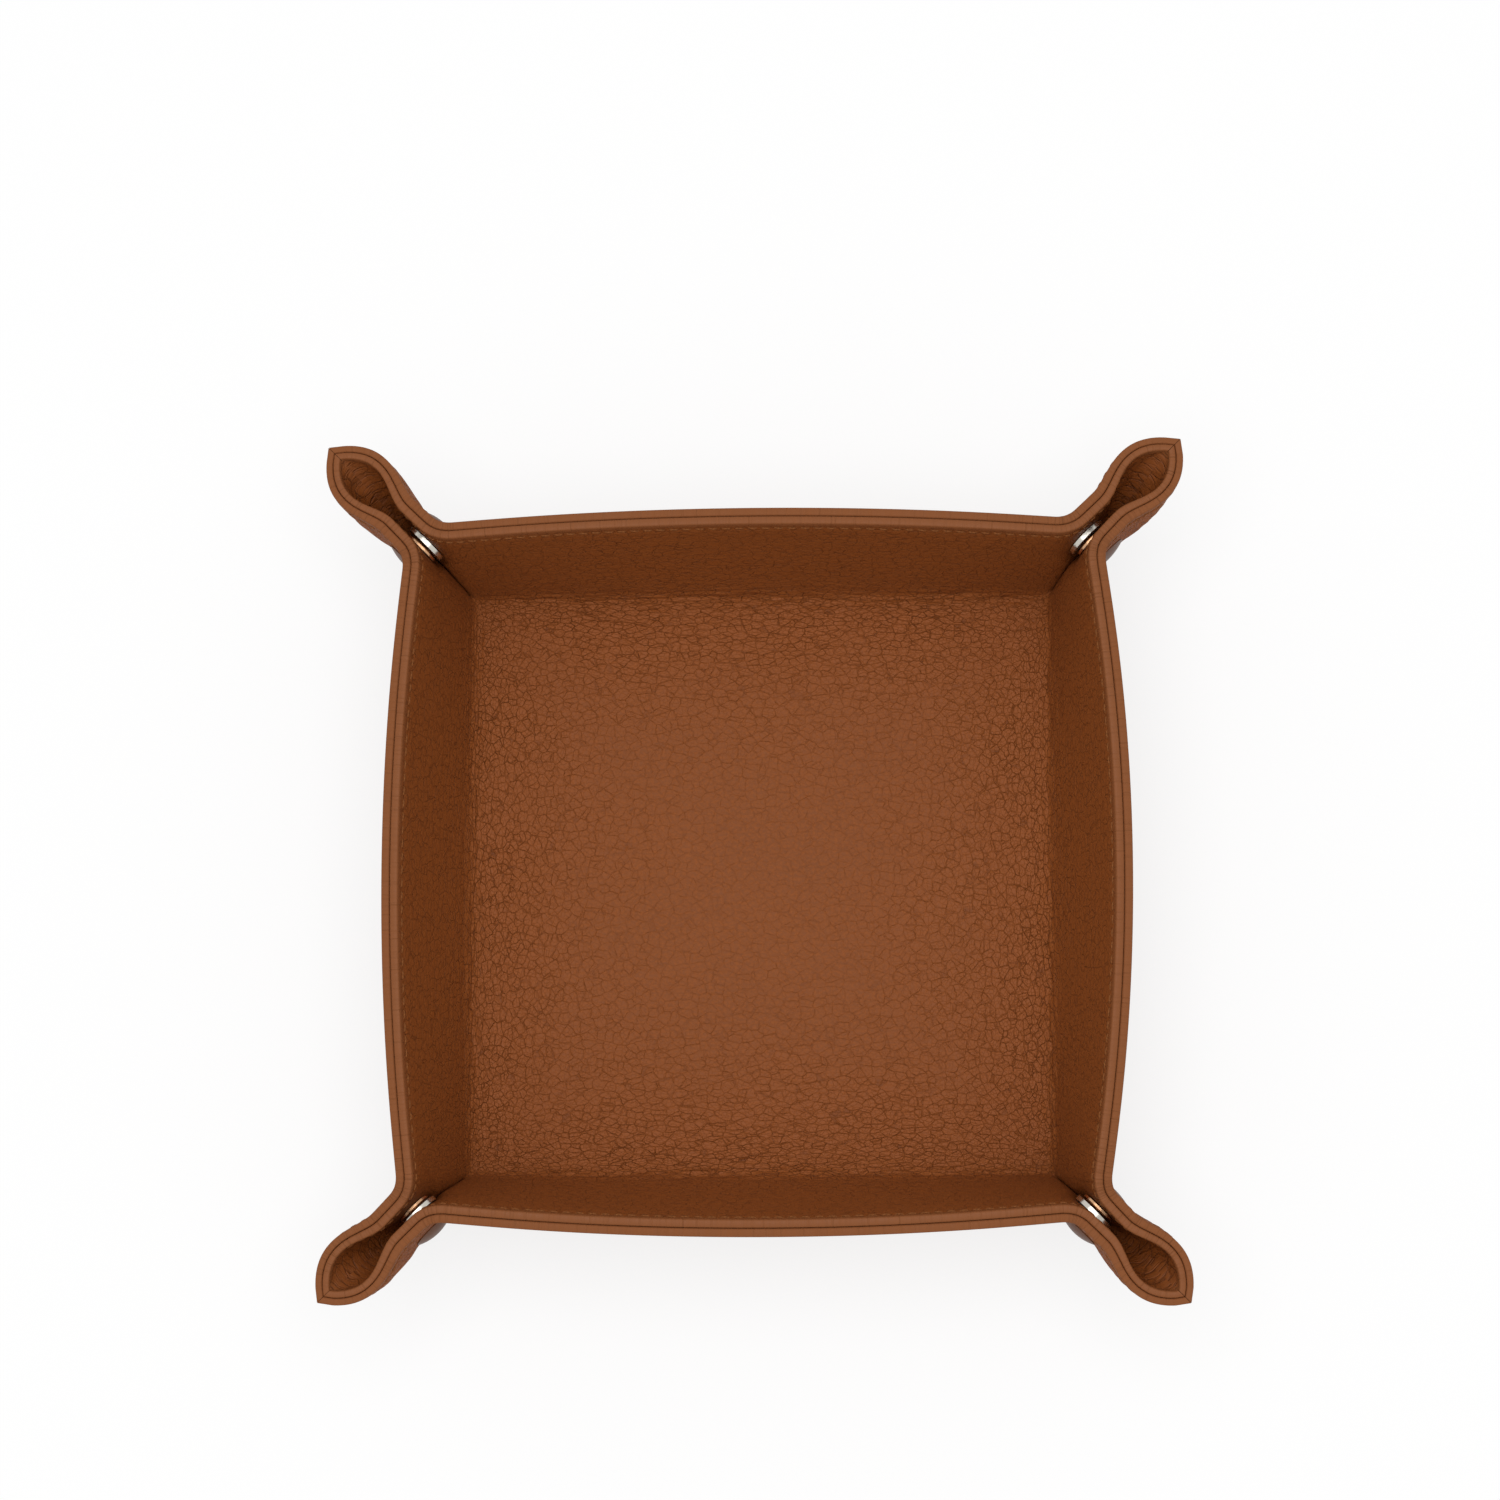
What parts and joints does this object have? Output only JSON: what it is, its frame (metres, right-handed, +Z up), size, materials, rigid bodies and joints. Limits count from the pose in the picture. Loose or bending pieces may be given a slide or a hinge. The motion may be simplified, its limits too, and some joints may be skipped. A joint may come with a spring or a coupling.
{
  "type": "valet tray",
  "caption": "Square leather valet tray with a stiffened floor, soft walls that lean outwards, and pinched corner ears held by press snaps; unsnapped, the walls fold down.",
  "frame": {"origin": "centre of the footprint, on the table", "axes": "+Z up out of the tray, -Y towards the front wall, +X towards the right wall"},
  "size_m": [0.2326, 0.2326, 0.0501],
  "materials": {
    "lining_leather": "pebble grain, satin",
    "outer_leather": "pebble grain, satin",
    "brown_lacquer": "gloss",
    "nickel": "polished",
    "spring_wire": "satin",
    "fibre_board": "matt"
  },
  "bodies": {
    "base": {"lining_floor": "lining_leather", "outer_floor": "outer_leather", "base_board": "fibre_board", "outer_fold_front": "outer_leather", "outer_fold_right": "outer_leather", "outer_fold_back": "outer_leather", "outer_fold_left": "outer_leather"},
    "wall_front": {"lining_wall_front": "lining_leather", "outer_wall_front": "outer_leather"},
    "wall_right": {"lining_wall_right": "lining_leather", "outer_wall_right": "outer_leather"},
    "wall_back": {"lining_wall_back": "lining_leather", "outer_wall_back": "outer_leather"},
    "wall_left": {"lining_wall_left": "lining_leather", "outer_wall_left": "outer_leather"},
    "ear_front_right": {"lining_ear_front_right": "lining_leather", "outer_ear_front_right": "outer_leather", "socket_front_right": "nickel", "spring_ring_front_right": "spring_wire", "cap_front_right": "brown_lacquer", "lining_keel_front_right": "lining_leather", "outer_keel_front_right": "outer_leather"},
    "ear_right_front": {"lining_ear_right_front": "lining_leather", "outer_ear_right_front": "outer_leather", "stud_front_right": "nickel", "post_front_right": "brown_lacquer"},
    "ear_right_back": {"lining_ear_right_back": "lining_leather", "outer_ear_right_back": "outer_leather", "stud_back_right": "nickel", "post_back_right": "brown_lacquer"},
    "ear_back_right": {"lining_ear_back_right": "lining_leather", "outer_ear_back_right": "outer_leather", "socket_back_right": "nickel", "spring_ring_back_right": "spring_wire", "cap_back_right": "brown_lacquer", "lining_keel_back_right": "lining_leather", "outer_keel_back_right": "outer_leather"},
    "ear_back_left": {"lining_ear_back_left": "lining_leather", "outer_ear_back_left": "outer_leather", "socket_back_left": "nickel", "spring_ring_back_left": "spring_wire", "cap_back_left": "brown_lacquer", "lining_keel_back_left": "lining_leather", "outer_keel_back_left": "outer_leather"},
    "ear_left_back": {"lining_ear_left_back": "lining_leather", "outer_ear_left_back": "outer_leather", "stud_back_left": "nickel", "post_back_left": "brown_lacquer"},
    "ear_left_front": {"lining_ear_left_front": "lining_leather", "outer_ear_left_front": "outer_leather", "stud_front_left": "nickel", "post_front_left": "brown_lacquer"},
    "ear_front_left": {"lining_ear_front_left": "lining_leather", "outer_ear_front_left": "outer_leather", "socket_front_left": "nickel", "spring_ring_front_left": "spring_wire", "cap_front_left": "brown_lacquer", "lining_keel_front_left": "lining_leather", "outer_keel_front_left": "outer_leather"}
  },
  "joints": [
    {"name": "fold_front", "type": "hinge", "parent": "base", "child": "wall_front", "pos_m": [0, -0.08, 0.0048], "axis": [1, 0, 0], "range_deg": [0, 72], "deforming": ["outer_fold_front"]},
    {"name": "fold_right", "type": "hinge", "parent": "base", "child": "wall_right", "pos_m": [0.08, 0, 0.0048], "axis": [0, 1, 0], "range_deg": [0, 72], "deforming": ["outer_fold_right"]},
    {"name": "fold_back", "type": "hinge", "parent": "base", "child": "wall_back", "pos_m": [0, 0.08, 0.0048], "axis": [-1, 0, 0], "range_deg": [0, 72], "deforming": ["outer_fold_back"]},
    {"name": "fold_left", "type": "hinge", "parent": "base", "child": "wall_left", "pos_m": [-0.08, 0, 0.0048], "axis": [0, -1, 0], "range_deg": [0, 72], "deforming": ["outer_fold_left"]},
    {"name": "ear_front_right_fold", "type": "hinge", "parent": "wall_front", "child": "ear_front_right", "pos_m": [0.08, -0.08, 0.0048], "axis": [0.1776, -0.1776, 0.968], "range_deg": [0, 42.3], "deforming": ["lining_keel_front_right", "outer_keel_front_right"]},
    {"name": "ear_right_front_fold", "type": "hinge", "parent": "wall_right", "child": "ear_right_front", "pos_m": [0.08, -0.08, 0.0048], "axis": [-0.1776, 0.1776, -0.968], "range_deg": [0, 42.3]},
    {"name": "ear_right_back_fold", "type": "hinge", "parent": "wall_right", "child": "ear_right_back", "pos_m": [0.08, 0.08, 0.0048], "axis": [0.1776, 0.1776, 0.968], "range_deg": [0, 42.3]},
    {"name": "ear_back_right_fold", "type": "hinge", "parent": "wall_back", "child": "ear_back_right", "pos_m": [0.08, 0.08, 0.0048], "axis": [-0.1776, -0.1776, -0.968], "range_deg": [0, 42.3], "deforming": ["lining_keel_back_right", "outer_keel_back_right"]},
    {"name": "ear_back_left_fold", "type": "hinge", "parent": "wall_back", "child": "ear_back_left", "pos_m": [-0.08, 0.08, 0.0048], "axis": [-0.1776, 0.1776, 0.968], "range_deg": [0, 42.3], "deforming": ["lining_keel_back_left", "outer_keel_back_left"]},
    {"name": "ear_left_back_fold", "type": "hinge", "parent": "wall_left", "child": "ear_left_back", "pos_m": [-0.08, 0.08, 0.0048], "axis": [0.1776, -0.1776, -0.968], "range_deg": [0, 42.3]},
    {"name": "ear_left_front_fold", "type": "hinge", "parent": "wall_left", "child": "ear_left_front", "pos_m": [-0.08, -0.08, 0.0048], "axis": [-0.1776, -0.1776, 0.968], "range_deg": [0, 42.3]},
    {"name": "ear_front_left_fold", "type": "hinge", "parent": "wall_front", "child": "ear_front_left", "pos_m": [-0.08, -0.08, 0.0048], "axis": [0.1776, 0.1776, -0.968], "range_deg": [0, 42.3], "deforming": ["lining_keel_front_left", "outer_keel_front_left"]}
  ],
  "couplings": [
    {"joint": "fold_right", "follows": "fold_front", "ratio": 1},
    {"joint": "fold_back", "follows": "fold_front", "ratio": 1},
    {"joint": "fold_left", "follows": "fold_front", "ratio": 1},
    {"joint": "ear_front_right_fold", "follows": "fold_front", "ratio": 0.58677},
    {"joint": "ear_right_front_fold", "follows": "fold_front", "ratio": 0.58677},
    {"joint": "ear_right_back_fold", "follows": "fold_front", "ratio": 0.58677},
    {"joint": "ear_back_right_fold", "follows": "fold_front", "ratio": 0.58677},
    {"joint": "ear_back_left_fold", "follows": "fold_front", "ratio": 0.58677},
    {"joint": "ear_left_back_fold", "follows": "fold_front", "ratio": 0.58677},
    {"joint": "ear_left_front_fold", "follows": "fold_front", "ratio": 0.58677},
    {"joint": "ear_front_left_fold", "follows": "fold_front", "ratio": 0.58677}
  ]
}
